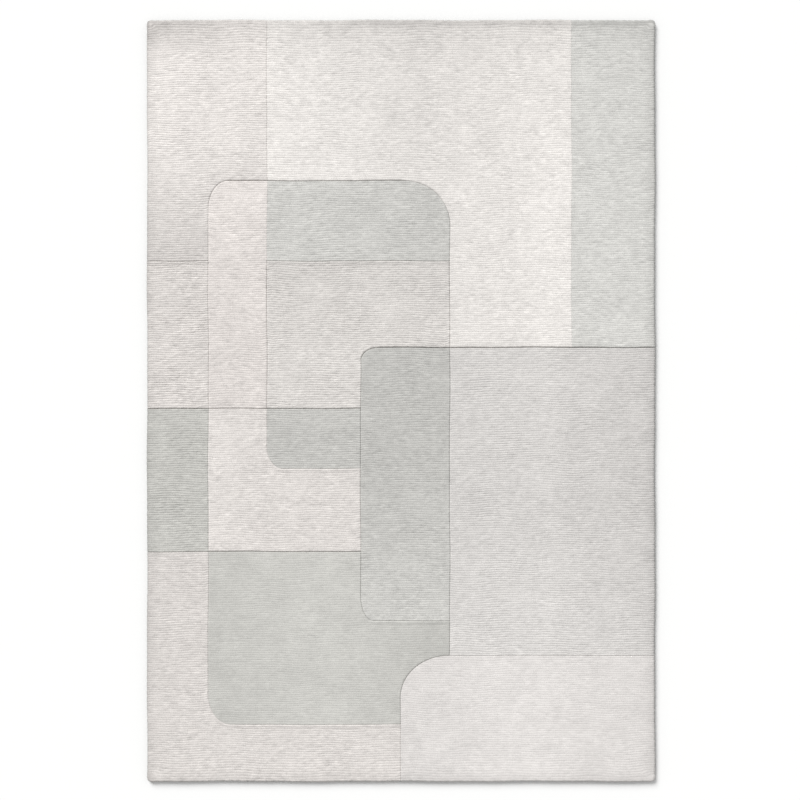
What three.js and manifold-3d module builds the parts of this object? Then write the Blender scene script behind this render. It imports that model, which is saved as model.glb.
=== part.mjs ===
// Hand-tufted area rug with a carved block pattern, built up in its real layers.
// Millimetres, +Z up. The origin is the middle of the underside: +X runs across the
// rug along the yarn rows, +Y runs towards the head end, and the rug lies on z = 0.
// Tape, canvas, gauze, latex and cloth are stacked under fifteen fields of wool pile,
// and a yarn whipping wraps the cloth's edge on all four sides.

import * as THREE from 'three';
import { mergeVertices } from 'three/addons/utils/BufferGeometryUtils.js';
import Module from 'manifold-3d';

const wasm = await Module();
wasm.setup();

// Overall sizes
const RUG_WIDTH = 1200;
const RUG_LENGTH = 1800;

// Gap that pieces keep where they touch
const CLEARANCE = 0.3;

// Layers, from the floor up
const TAPE_WIDTH = 46;
const TAPE_THICKNESS = 1.0;
const CANVAS_THICKNESS = 0.8;
const GAUZE_THICKNESS = 0.3;
const LATEX_THICKNESS = 1.0;
const CLOTH_THICKNESS = 0.8;
const CLOTH_HEM = 30;
const PILE_HEIGHT = 8.2;

// Thread that sews the tape's inner edge down, lying in a channel of the tape
const THREAD_WIDTH = 0.6;
const THREAD_HEIGHT = 0.35;
const SEAM_FROM_TAPE_EDGE = 5;

// Yarn whipping round the edge of the cloth
const WHIPPING_THICKNESS = 2.7;
const WHIPPING_TOP_THICKNESS = 1.4;
const WHIPPING_REACH_UNDER = 9;
const WHIPPING_REACH_OVER = 5.4;
const WHIPPING_ROUNDING = 2.2;
const WHIPPING_CORNER_RADIUS = 6;

// Carved shoulders of the pile fields
const SHOULDER_WIDTH = 5;
const SHOULDER_DROP = 5.5;
const SHOULDER_STEPS = 3;
const PILE_CORNER_RADIUS = 8;

// Lines of the block pattern, from the edge or the middle line that each is set out from
const LEFT_COLUMN = 145;
const LEFT_TWO_COLUMNS = 284;
const PANEL_LEFT = -94;
const PANEL_RIGHT = 117;
const FOOT_BLOCK_LEFT = 0;
const RIGHT_COLUMN = 195;
const HEAD_BAND = 379;
const HEAD_BAND_AND_BAR = 569;
const PANEL_TOP = 126;
const DARK_BLOCK_TOP = -18;
const DARK_BLOCK_FOOT = -160;
const LOWER_BLOCK_FROM_FOOT = 543;
const PANEL_FROM_FOOT = 379;
const FOOT_BLOCK_HEIGHT = 297;
const FOOT_BAND = 134;

// Rounded corners of the blocks: [along X, along Y]
const COLUMN_ROUND = [45, 64];
const BAR_ROUND = [106, 106];
const PANEL_TOP_ROUND = [42, 30];
const PANEL_FOOT_ROUND = [30, 57];
const DARK_BLOCK_ROUND = [40, 55];
const LOWER_BLOCK_ROUND = [52, 75];
const FOOT_BLOCK_ROUND = [113, 104];
const CORNER_STEPS = 6;

// Heights worked out from the layers
const hemBottom = TAPE_THICKNESS + CLEARANCE;
const hemTop = hemBottom + CLOTH_THICKNESS;
const canvasRimTop = hemBottom + CANVAS_THICKNESS;
const gauzeBottom = CANVAS_THICKNESS + CLEARANCE;
const gauzeTop = gauzeBottom + GAUZE_THICKNESS;
const latexBottom = Math.max(hemTop, canvasRimTop, gauzeTop) + CLEARANCE;
const latexTop = latexBottom + LATEX_THICKNESS;
const clothBottom = latexTop + CLEARANCE;
const clothTop = clothBottom + CLOTH_THICKNESS;
const pileBottom = clothTop + CLEARANCE;

// Distances in from the rug's edge
const clothInset = WHIPPING_THICKNESS + CLEARANCE;
const latexInset = clothInset + CLOTH_THICKNESS + CLEARANCE;
const hemInset = clothInset + CLOTH_HEM;
const canvasInset = hemInset + CLEARANCE;
const tapeOuterInset = WHIPPING_REACH_UNDER + CLEARANCE;
const tapeInnerInset = tapeOuterInset + TAPE_WIDTH;
const seamInset = tapeInnerInset - SEAM_FROM_TAPE_EDGE;
const canvasFloorInset = tapeInnerInset + CLEARANCE;
const canvasPocketInset = canvasFloorInset + CANVAS_THICKNESS;
const gauzeInset = canvasPocketInset + CLEARANCE;
const pileInset = WHIPPING_REACH_OVER + CLEARANCE / 2;

const IVORY = 0xe2dcd8;
const ROSE_IVORY = 0xdfd8d4;
const PEARL = 0xd3d0cc;
const SILVER = 0xcbcac5;
const GREY = 0xc6c5c0;
const WHIPPING_GREY = 0x9a9a95;
const CANVAS_BEIGE = 0xcbbfa4;
const TAPE_BEIGE = 0xd8cfba;
const GAUZE_WHITE = 0xe8e6df;
const LATEX_CREAM = 0xe6dcc0;
const CLOTH_WHITE = 0xdedad0;
const THREAD_BEIGE = 0xb9ad92;

const rug = new THREE.Group();

/** Adds one named piece with a material of its own. */
function addPiece(name, geometry, color, roughness) {
  const material = new THREE.MeshStandardMaterial({ color, roughness, metalness: 0 });
  const mesh = new THREE.Mesh(geometry, material);
  mesh.name = name;
  rug.add(mesh);
}

/** Turns a closed three.js geometry into a manifold solid. */
function toSolid(geometry) {
  const bare = geometry.clone();
  bare.deleteAttribute('normal');
  bare.deleteAttribute('uv');
  const merged = mergeVertices(bare, 1e-4);
  const mesh = new wasm.Mesh({
    numProp: 3,
    vertProperties: new Float32Array(merged.attributes.position.array),
    triVerts: new Uint32Array(merged.index.array),
  });
  return new wasm.Manifold(mesh);
}

/** Turns a manifold solid back into a three.js geometry. */
function toGeometry(solid) {
  const { vertProperties, triVerts } = solid.getMesh();
  const geometry = new THREE.BufferGeometry();
  geometry.setAttribute('position', new THREE.BufferAttribute(new Float32Array(vertProperties), 3));
  geometry.setIndex(new THREE.BufferAttribute(new Uint32Array(triVerts), 1));
  geometry.computeVertexNormals();
  return geometry;
}

/** A plain sheet centred on the rug, `inset` in from its edge, between two heights. */
function sheet(inset, bottom, top) {
  const box = new THREE.BoxGeometry(RUG_WIDTH - 2 * inset, RUG_LENGTH - 2 * inset, top - bottom);
  box.translate(0, 0, (bottom + top) / 2);
  return box;
}

/** A closed outline through [x, y] points; a third entry rounds that corner. */
function outline(corners, inset) {
  const shape = new THREE.Shape();
  corners.forEach(([x, y, round], i) => {
    const [lastX, lastY] = corners.at(i - 1);
    const [nextX, nextY] = corners[(i + 1) % corners.length];
    const into = new THREE.Vector2(x - lastX, y - lastY).normalize();
    const away = new THREE.Vector2(nextX - x, nextY - y).normalize();
    const turn = Math.sign(into.cross(away));
    const px = x - inset * (into.y + away.y);
    const py = y + inset * (into.x + away.x);
    if (round) {
      const rx = round[0] - turn * inset;
      const ry = round[1] - turn * inset;
      const cx = px + rx * (away.x - into.x);
      const cy = py + ry * (away.y - into.y);
      const start = Math.atan2(-away.y, -away.x);
      const end = Math.atan2(into.y, into.x);
      if (i > 0) {
        shape.lineTo(cx - rx * away.x, cy - ry * away.y);
      }
      shape.absellipse(cx, cy, rx, ry, start, end, turn < 0);
    } else if (i === 0) {
      shape.moveTo(px, py);
    } else {
      shape.lineTo(px, py);
    }
  });
  return shape;
}

/** A field of pile: upright at its foot, with a rounded shoulder carved all round its top. */
function pileField(corners) {
  const geometry = new THREE.ExtrudeGeometry(outline(corners, CLEARANCE / 2), {
    depth: PILE_HEIGHT - SHOULDER_DROP,
    curveSegments: CORNER_STEPS,
    bevelEnabled: true,
    bevelSegments: SHOULDER_STEPS,
    bevelThickness: SHOULDER_DROP,
    bevelSize: SHOULDER_WIDTH,
    bevelOffset: -SHOULDER_WIDTH,
  });
  // The extrusion rounds both its faces, so the lower rounding is pressed flat onto the cloth.
  const position = geometry.attributes.position;
  for (let i = 0; i < position.count; i += 1) {
    position.setZ(i, pileBottom + Math.max(position.getZ(i), 0));
  }
  return geometry;
}

/**
 * A bar with the same section along one side of the rug, mitred at both corners.
 * The section's x is the distance in from the rug's edge and its y is the height.
 */
function sideBar(section, sideLength, sideDistance, turn) {
  const geometry = new THREE.ExtrudeGeometry(section, {
    depth: sideLength,
    curveSegments: 4,
    bevelEnabled: false,
  });
  const mitreGap = CLEARANCE * Math.SQRT1_2;
  const position = geometry.attributes.position;
  for (let i = 0; i < position.count; i += 1) {
    const inward = position.getX(i);
    const height = position.getY(i);
    const end = position.getZ(i) > 0 ? 1 : -1;
    const along = end * (sideLength / 2 - inward - mitreGap);
    position.setXYZ(i, sideDistance - inward, along, height);
  }
  geometry.rotateZ(turn);
  return geometry;
}

/** The four sides of the rug, each with its length, its distance from the middle and its turn. */
const sides = [
  ['right', RUG_LENGTH, RUG_WIDTH / 2, 0],
  ['head', RUG_WIDTH, RUG_LENGTH / 2, Math.PI / 2],
  ['left', RUG_LENGTH, RUG_WIDTH / 2, Math.PI],
  ['foot', RUG_WIDTH, RUG_LENGTH / 2, -Math.PI / 2],
];

/** The tape's section, with the channel that the sewing thread lies in. */
function tapeSection() {
  const channelHalf = THREAD_WIDTH / 2 + CLEARANCE;
  const channelTop = THREAD_HEIGHT + CLEARANCE;
  const section = new THREE.Shape();
  section.moveTo(tapeOuterInset, 0);
  section.lineTo(seamInset - channelHalf, 0);
  section.lineTo(seamInset - channelHalf, channelTop);
  section.lineTo(seamInset + channelHalf, channelTop);
  section.lineTo(seamInset + channelHalf, 0);
  section.lineTo(tapeInnerInset, 0);
  section.lineTo(tapeInnerInset, TAPE_THICKNESS);
  section.lineTo(tapeOuterInset, TAPE_THICKNESS);
  return section;
}

/** The sewing thread's section, in the tape's channel. */
function threadSection() {
  const section = new THREE.Shape();
  section.moveTo(seamInset - THREAD_WIDTH / 2, 0);
  section.lineTo(seamInset + THREAD_WIDTH / 2, 0);
  section.lineTo(seamInset + THREAD_WIDTH / 2, THREAD_HEIGHT);
  section.lineTo(seamInset - THREAD_WIDTH / 2, THREAD_HEIGHT);
  return section;
}

/** The whipping's section: a C round the cloth's edge, rounded on its outer side. */
function whippingSection() {
  const legTop = hemBottom - CLEARANCE;
  const round = Math.min(WHIPPING_ROUNDING, legTop);
  const top = pileBottom + WHIPPING_TOP_THICKNESS;
  const section = new THREE.Shape();
  section.moveTo(WHIPPING_REACH_UNDER, 0);
  section.lineTo(WHIPPING_REACH_UNDER, legTop);
  section.lineTo(WHIPPING_THICKNESS, legTop);
  section.lineTo(WHIPPING_THICKNESS, pileBottom);
  section.lineTo(WHIPPING_REACH_OVER, pileBottom);
  section.lineTo(WHIPPING_REACH_OVER, top);
  section.absarc(WHIPPING_ROUNDING, top - WHIPPING_ROUNDING, WHIPPING_ROUNDING, Math.PI / 2, Math.PI, false);
  section.absarc(round, round, round, Math.PI, 1.5 * Math.PI, false);
  return section;
}

/** The rug's plan with its four corners rounded, as a block that trims the whipping. */
function roundedPlan() {
  const round = [WHIPPING_CORNER_RADIUS, WHIPPING_CORNER_RADIUS];
  const x = RUG_WIDTH / 2;
  const y = RUG_LENGTH / 2;
  const plan = outline([[-x, -y, round], [x, -y, round], [x, y, round], [-x, y, round]], 0);
  const height = pileBottom + PILE_HEIGHT;
  const block = new THREE.ExtrudeGeometry(plan, {
    depth: 3 * height,
    curveSegments: CORNER_STEPS,
    bevelEnabled: false,
  });
  block.translate(0, 0, -height);
  return toSolid(block);
}

/** Backing tape and its seam on each side, and the yarn whipping trimmed at the corners. */
function addEdges() {
  const plan = roundedPlan();
  for (const [side, length, distance, turn] of sides) {
    addPiece(`binding_tape_${side}`, sideBar(tapeSection(), length, distance, turn), TAPE_BEIGE, 0.9);
    addPiece(`tape_seam_${side}`, sideBar(threadSection(), length, distance, turn), THREAD_BEIGE, 0.8);
    const whipping = toSolid(sideBar(whippingSection(), length, distance, turn)).intersect(plan);
    addPiece(`edge_whipping_${side}`, toGeometry(whipping), WHIPPING_GREY, 0.95);
  }
}

/** Canvas backing: flat on the floor, stepped up at its rim so that it lies over the tape. */
function addCanvas() {
  const rim = toSolid(sheet(canvasInset, hemBottom, canvasRimTop));
  const middle = toSolid(sheet(canvasFloorInset, 0, canvasRimTop));
  const pocket = toSolid(sheet(canvasPocketInset, CANVAS_THICKNESS, canvasRimTop + 1));
  addPiece('backing_canvas', toGeometry(rim.add(middle).subtract(pocket)), CANVAS_BEIGE, 0.95);
}

/** Latex that locks the tufts, reaching down through the canvas's step to the gauze. */
function addLatex() {
  const layer = toSolid(sheet(latexInset, latexBottom, latexTop));
  const fill = toSolid(sheet(gauzeInset, gauzeTop + CLEARANCE, latexTop));
  addPiece('latex_layer', toGeometry(layer.add(fill)), LATEX_CREAM, 0.7);
}

/** Tufting cloth, folded down round the latex and turned under as a hem. */
function addCloth() {
  const whole = toSolid(sheet(clothInset, hemBottom, clothTop));
  const fold = toSolid(sheet(clothInset + CLOTH_THICKNESS, hemTop, clothBottom));
  const opening = toSolid(sheet(hemInset, hemBottom - 1, clothBottom));
  addPiece('tufting_cloth', toGeometry(whole.subtract(fold).subtract(opening)), CLOTH_WHITE, 0.9);
}

/** The fifteen fields of pile, each outlined counter-clockwise on the pattern's lines. */
function addPile() {
  const right = RUG_WIDTH / 2 - pileInset;
  const left = -right;
  const head = RUG_LENGTH / 2 - pileInset;
  const foot = -head;
  const edge = [PILE_CORNER_RADIUS, PILE_CORNER_RADIUS];
  const columnLeft = LEFT_COLUMN - RUG_WIDTH / 2;
  const columnRight = LEFT_TWO_COLUMNS - RUG_WIDTH / 2;
  const rightColumn = RUG_WIDTH / 2 - RIGHT_COLUMN;
  const bandFoot = RUG_LENGTH / 2 - HEAD_BAND;
  const barFoot = RUG_LENGTH / 2 - HEAD_BAND_AND_BAR;
  const lowerBlockTop = LOWER_BLOCK_FROM_FOOT - RUG_LENGTH / 2;
  const panelFoot = PANEL_FROM_FOOT - RUG_LENGTH / 2;
  const footBlockTop = FOOT_BLOCK_HEIGHT - RUG_LENGTH / 2;
  const footBandTop = FOOT_BAND - RUG_LENGTH / 2;

  const fields = [
    ['pile_top_left', IVORY, [
      [left, barFoot], [columnLeft, barFoot], [columnLeft, bandFoot, COLUMN_ROUND],
      [columnRight, bandFoot], [columnRight, head], [left, head, edge]]],
    ['pile_top_centre', IVORY, [
      [columnRight, bandFoot], [PANEL_RIGHT, bandFoot, BAR_ROUND], [PANEL_RIGHT, PANEL_TOP],
      [rightColumn, PANEL_TOP], [rightColumn, head], [columnRight, head]]],
    ['pile_top_right', PEARL, [
      [rightColumn, PANEL_TOP], [right, PANEL_TOP], [right, head, edge], [rightColumn, head]]],
    ['pile_left_column', ROSE_IVORY, [
      [columnLeft, DARK_BLOCK_TOP], [columnRight, DARK_BLOCK_TOP], [columnRight, bandFoot],
      [columnLeft, bandFoot, COLUMN_ROUND]]],
    ['pile_upper_bar', SILVER, [
      [columnRight, barFoot], [PANEL_RIGHT, barFoot], [PANEL_RIGHT, bandFoot, BAR_ROUND],
      [columnRight, bandFoot]]],
    ['pile_left_upper', ROSE_IVORY, [
      [left, DARK_BLOCK_TOP], [columnLeft, DARK_BLOCK_TOP], [columnLeft, barFoot], [left, barFoot]]],
    ['pile_inner_step', ROSE_IVORY, [
      [columnRight, DARK_BLOCK_TOP], [PANEL_LEFT, DARK_BLOCK_TOP],
      [PANEL_LEFT, PANEL_TOP, PANEL_TOP_ROUND], [PANEL_RIGHT, PANEL_TOP],
      [PANEL_RIGHT, barFoot], [columnRight, barFoot]]],
    ['pile_left_middle', GREY, [
      [left, lowerBlockTop], [columnLeft, lowerBlockTop], [columnLeft, DARK_BLOCK_TOP],
      [left, DARK_BLOCK_TOP]]],
    ['pile_centre_left', ROSE_IVORY, [
      [columnLeft, lowerBlockTop], [PANEL_LEFT, lowerBlockTop], [PANEL_LEFT, DARK_BLOCK_FOOT],
      [columnRight, DARK_BLOCK_FOOT, DARK_BLOCK_ROUND], [columnRight, DARK_BLOCK_TOP],
      [columnLeft, DARK_BLOCK_TOP]]],
    ['pile_dark_block', GREY, [
      [columnRight, DARK_BLOCK_FOOT, DARK_BLOCK_ROUND], [PANEL_LEFT, DARK_BLOCK_FOOT],
      [PANEL_LEFT, DARK_BLOCK_TOP], [columnRight, DARK_BLOCK_TOP]]],
    ['pile_tall_panel', GREY, [
      [PANEL_LEFT, panelFoot, PANEL_FOOT_ROUND], [PANEL_RIGHT, panelFoot],
      [PANEL_RIGHT, PANEL_TOP], [PANEL_LEFT, PANEL_TOP, PANEL_TOP_ROUND]]],
    ['pile_lower_block', SILVER, [
      [columnLeft, footBandTop, LOWER_BLOCK_ROUND], [FOOT_BLOCK_LEFT, footBandTop],
      [FOOT_BLOCK_LEFT, footBlockTop, FOOT_BLOCK_ROUND], [PANEL_RIGHT, footBlockTop],
      [PANEL_RIGHT, panelFoot], [PANEL_LEFT, panelFoot, PANEL_FOOT_ROUND],
      [PANEL_LEFT, lowerBlockTop], [columnLeft, lowerBlockTop]]],
    ['pile_bottom_right', IVORY, [
      [FOOT_BLOCK_LEFT, foot], [right, foot, edge], [right, footBlockTop],
      [FOOT_BLOCK_LEFT, footBlockTop, FOOT_BLOCK_ROUND]]],
    ['pile_bottom_left', ROSE_IVORY, [
      [left, foot, edge], [FOOT_BLOCK_LEFT, foot], [FOOT_BLOCK_LEFT, footBandTop],
      [columnLeft, footBandTop, LOWER_BLOCK_ROUND], [columnLeft, lowerBlockTop],
      [left, lowerBlockTop]]],
    ['pile_right_side', PEARL, [
      [PANEL_RIGHT, footBlockTop], [right, footBlockTop], [right, PANEL_TOP],
      [PANEL_RIGHT, PANEL_TOP]]],
  ];
  for (const [name, color, corners] of fields) {
    addPiece(name, pileField(corners), color, 1);
  }
}

addEdges();
addCanvas();
addPiece('backing_gauze', sheet(gauzeInset, gauzeBottom, gauzeTop), GAUZE_WHITE, 0.9);
addLatex();
addCloth();
addPile();

export default rug;
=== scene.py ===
"""Looks of a hand-tufted area rug with a carved block pattern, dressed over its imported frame.

The pile is tufted in rows that run across the rug. Each field of the pattern is one closed
piece whose top carries every row as real relief; lines of the pattern are cut into it. Under
the pile lie the tufting cloth, latex, gauze, canvas and binding tape, and a close-wound yarn
whipping covers the edge.
"""

import logging
import math
from dataclasses import dataclass
from enum import Enum
from typing import Optional, Sequence, Union

import bmesh
import bpy
import numpy as np
from mathutils import Matrix, Vector


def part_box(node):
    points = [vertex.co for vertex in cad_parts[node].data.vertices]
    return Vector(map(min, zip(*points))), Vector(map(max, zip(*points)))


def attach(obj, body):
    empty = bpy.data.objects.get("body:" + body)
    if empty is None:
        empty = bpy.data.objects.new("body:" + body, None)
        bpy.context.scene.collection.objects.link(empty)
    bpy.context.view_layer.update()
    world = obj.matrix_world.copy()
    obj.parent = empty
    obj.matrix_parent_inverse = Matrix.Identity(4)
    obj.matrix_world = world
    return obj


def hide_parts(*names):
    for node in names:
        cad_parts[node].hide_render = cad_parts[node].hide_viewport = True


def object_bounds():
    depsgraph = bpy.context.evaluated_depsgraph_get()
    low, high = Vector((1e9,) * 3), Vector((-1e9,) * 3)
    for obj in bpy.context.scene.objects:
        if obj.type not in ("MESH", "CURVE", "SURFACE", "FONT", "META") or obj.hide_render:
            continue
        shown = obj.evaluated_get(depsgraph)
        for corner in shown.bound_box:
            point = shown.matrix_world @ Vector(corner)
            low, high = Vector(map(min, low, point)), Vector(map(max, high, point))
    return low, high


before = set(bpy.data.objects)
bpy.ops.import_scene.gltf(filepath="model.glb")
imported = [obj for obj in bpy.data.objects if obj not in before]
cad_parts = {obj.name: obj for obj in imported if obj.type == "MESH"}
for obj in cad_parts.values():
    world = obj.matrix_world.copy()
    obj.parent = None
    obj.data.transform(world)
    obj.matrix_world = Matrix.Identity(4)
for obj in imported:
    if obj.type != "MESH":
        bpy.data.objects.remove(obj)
CAD_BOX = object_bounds()

LOG = logging.getLogger("rug")
MM = 0.001
ROOT = "root"
ROW_MAP = "rows"
HALF_WIDTH = CAD_BOX[1].x / MM
HALF_LENGTH = CAD_BOX[1].y / MM
FAR = 1e3
Colour = tuple[float, float, float]
Point = tuple[float, float]


# ---------------------------------------------------------------------------------------------
# Shader building


def linear(shade: Colour) -> Colour:
    """Turns a display shade of 0 to 255 into linear light.

    Args:
        shade: red, green and blue, as a colour chart gives them.

    Returns:
        The same colour as linear values from 0 to 1.
    """
    parts = [channel / 255 for channel in shade]
    return tuple(p / 12.92 if p <= 0.04045 else ((p + 0.055) / 1.055) ** 2.4 for p in parts)


class Signal:
    """A number that varies over a surface, with Python's operators as Math nodes."""

    def __init__(self, shader: "Shader", socket: bpy.types.NodeSocket) -> None:
        """Wraps one output socket of a node in the shader's tree."""
        self.shader = shader
        self.socket = socket

    def _math(self, operation: str, *inputs: "Operand") -> "Signal":
        """Adds one Math node.

        Args:
            operation: the Math node's operation.
            inputs: its inputs in order, as signals or plain numbers.

        Returns:
            The node's value.
        """
        sockets = {i: value for i, value in enumerate(inputs)}
        return self.shader.node("ShaderNodeMath", {"operation": operation}, sockets).out("Value")

    def __add__(self, other: "Operand") -> "Signal":
        """self + other."""
        return self._math("ADD", self, other)

    def __radd__(self, other: "Operand") -> "Signal":
        """other + self."""
        return self._math("ADD", other, self)

    def __sub__(self, other: "Operand") -> "Signal":
        """self - other."""
        return self._math("SUBTRACT", self, other)

    def __rsub__(self, other: "Operand") -> "Signal":
        """other - self."""
        return self._math("SUBTRACT", other, self)

    def __mul__(self, other: "Operand") -> "Signal":
        """self * other."""
        return self._math("MULTIPLY", self, other)

    def __rmul__(self, other: "Operand") -> "Signal":
        """other * self."""
        return self._math("MULTIPLY", other, self)

    def __truediv__(self, other: "Operand") -> "Signal":
        """self / other."""
        return self._math("DIVIDE", self, other)

    def floor(self) -> "Signal":
        """The whole number at or below the signal."""
        return self._math("FLOOR", self)

    def fract(self) -> "Signal":
        """What is left over the whole number below."""
        return self._math("FRACT", self)

    def sine(self) -> "Signal":
        """The sine of the signal, in radians."""
        return self._math("SINE", self)

    def absolute(self) -> "Signal":
        """The signal without its sign."""
        return self._math("ABSOLUTE", self)

    def least(self, other: "Operand") -> "Signal":
        """The lesser of the signal and another."""
        return self._math("MINIMUM", self, other)

    def clamp(self) -> "Signal":
        """The signal kept from 0 to 1."""
        return self._math("MAXIMUM", self.least(1.0), 0.0)

    def ramp(self, low: float, high: float) -> "Signal":
        """A smooth rise from 0 at low to 1 at high."""
        settings = {"interpolation_type": "SMOOTHSTEP"}
        sockets = {"Value": self, "From Min": low, "From Max": high}
        return self.shader.node("ShaderNodeMapRange", settings, sockets).out("Result")


Operand = Union[Signal, float, int]


class Made:
    """A node that has just been added, with its outputs by name."""

    def __init__(self, shader: "Shader", node: bpy.types.Node) -> None:
        """Keeps the node and the shader that it belongs to."""
        self.shader = shader
        self.node = node

    def out(self, name: Union[str, int]) -> Signal:
        """One output as a signal."""
        return Signal(self.shader, self.node.outputs[name])


class Shader:
    """One material's node tree, ending in a Principled BSDF."""

    def __init__(self, name: str) -> None:
        """Makes an empty material of that name, with its output and its shader."""
        self.material = bpy.data.materials.new(name)
        self.material.use_nodes = True
        self.tree = self.material.node_tree
        self.tree.nodes.clear()
        self.output = self.tree.nodes.new("ShaderNodeOutputMaterial")
        self.principled = self.tree.nodes.new("ShaderNodeBsdfPrincipled")
        self.tree.links.new(self.principled.outputs["BSDF"], self.output.inputs["Surface"])

    def node(self, kind: str, settings: dict, sockets: dict) -> Made:
        """Adds a node of any type.

        Args:
            kind: the node's type.
            settings: its properties, which are set first.
            sockets: its inputs by name or number, each a signal or a constant.

        Returns:
            The node.
        """
        node = self.tree.nodes.new(kind)
        for key, value in settings.items():
            setattr(node, key, value)
        for key, value in sockets.items():
            self.feed(node.inputs[key], value)
        return Made(self, node)

    def feed(self, socket: bpy.types.NodeSocket, value: object) -> None:
        """Links a signal into a socket, or sets a constant on it."""
        if isinstance(value, Signal):
            self.tree.links.new(value.socket, socket)
        elif isinstance(value, tuple) and socket.type == "RGBA":
            socket.default_value = (*value, 1.0)
        else:
            socket.default_value = value

    def place(self) -> tuple[Signal, Signal, Signal]:
        """Where a point is on the rug, in millimetres along X, Y and Z."""
        point = self.node("ShaderNodeTexCoord", {}, {}).out("Object")
        parts = self.node("ShaderNodeSeparateXYZ", {}, {"Vector": point})
        return tuple(parts.out(axis) / MM for axis in "XYZ")

    def rows(self) -> tuple[Signal, Signal]:
        """Where a point is on the piece's own map: along the rows, and counted in rows."""
        point = self.node("ShaderNodeUVMap", {"uv_map": ROW_MAP}, {}).out("UV")
        parts = self.node("ShaderNodeSeparateXYZ", {}, {"Vector": point})
        return parts.out("X"), parts.out("Y")

    def vector(self, x: Operand, y: Operand, z: Operand = 0.0) -> Signal:
        """Joins three numbers into a vector."""
        return self.node("ShaderNodeCombineXYZ", {}, {"X": x, "Y": y, "Z": z}).out("Vector")

    def noise(self, x: Operand, y: Operand, z: Operand = 0.0, detail: float = 1.0) -> Signal:
        """Soft noise about 0, one blot per unit.

        Args:
            x: the first coordinate.
            y: the second.
            z: the third.
            detail: how many finer layers are added.

        Returns:
            The noise, roughly from -0.5 to 0.5.
        """
        sockets = {"Vector": self.vector(x, y, z), "Scale": 1.0, "Detail": detail}
        return self.node("ShaderNodeTexNoise", {}, sockets).out("Fac") - 0.5

    def tint(self, colour: object, gain: Operand) -> Signal:
        """Scales a colour's brightness.

        Args:
            colour: the colour, as linear values or a signal.
            gain: what it is scaled by.

        Returns:
            The scaled colour.
        """
        grey = self.node("ShaderNodeCombineColor", {}, {"Red": gain, "Green": gain, "Blue": gain})
        settings = {"data_type": "RGBA", "blend_type": "MULTIPLY"}
        node = self.node("ShaderNodeMix", settings, {"Factor": 1.0})
        self.feed(node.node.inputs[6], colour)
        self.feed(node.node.inputs[7], grey.out("Color"))
        return node.out(2)

    def bump(self, height: Signal, depth: float) -> Signal:
        """Turns a height into a normal.

        Args:
            height: the height, from 0 to 1.
            depth: the relief's depth, in metres.

        Returns:
            The normal.
        """
        sockets = {"Height": height, "Distance": depth, "Strength": 1.0}
        return self.node("ShaderNodeBump", {}, sockets).out("Normal")

    def finish(self, colour: object, roughness: object, normal: Signal, **fixed: object) -> None:
        """Feeds the Principled BSDF.

        Args:
            colour: its base colour.
            roughness: its roughness, as a signal or a constant.
            normal: its normal.
            fixed: other sockets that hold one value all over, with _ for a space.
        """
        self.feed(self.principled.inputs["Base Color"], colour)
        self.feed(self.principled.inputs["Roughness"], roughness)
        self.feed(self.principled.inputs["Normal"], normal)
        for name, value in fixed.items():
            self.principled.inputs[name.replace("_", " ")].default_value = value


# ---------------------------------------------------------------------------------------------
# Finishes


@dataclass(frozen=True)
class Soiling:
    """Where the pile is painted darker: round its edges, along its head, down its left side and its
    hem.

    This is painted shade, where the rim rolls over and where the light falls off towards the edges,
    together with some greying of the pile.

    Each share is how much of the colour is lost, and each span is where that fades out, in mm.
    """

    edge: float = 0.09
    edge_span: Point = (0.0, 30.0)
    head: float = 0.15
    head_span: Point = (20.0, 95.0)
    head_waver: float = 60.0
    corner_gain: float = 1.4
    corner_span: Point = (0.0, 320.0)
    left: float = 0.15
    left_span: Point = (1.0, 8.0)
    hem: float = 0.08
    hem_span: Point = (4.0, 20.0)
    hem_start: Point = (-160.0, -60.0)

    def clean(self, s: Shader, x: Signal, y: Signal) -> Signal:
        """The share of the colour that is left at each point, after the painted edge shade and
        greying.

        Args:
            s: the shader.
            x: the place along X, in millimetres.
            y: the place along Y.

        Returns:
            The share.
        """
        # painted shade with greying: each term below darkens the colour near one edge of the rug
        rim = (HALF_WIDTH - x.absolute()).least(HALF_LENGTH - y.absolute())
        from_left = HALF_WIDTH + x
        from_head = HALF_LENGTH - y
        waver = s.noise(x * 0.02, 3.0, 1.0, 2.0) * self.head_waver
        corner = self.corner_gain - from_left.ramp(*self.corner_span)
        clean = 1.0 - (1.0 - rim.ramp(*self.edge_span)) * self.edge
        clean = clean - (1.0 - (from_head + waver).ramp(*self.head_span)) * self.head * corner
        clean = clean - (1.0 - from_left.ramp(*self.left_span)) * self.left
        return clean - (1.0 - from_head.ramp(*self.hem_span)) * self.hem * x.ramp(*self.hem_start)


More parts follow.
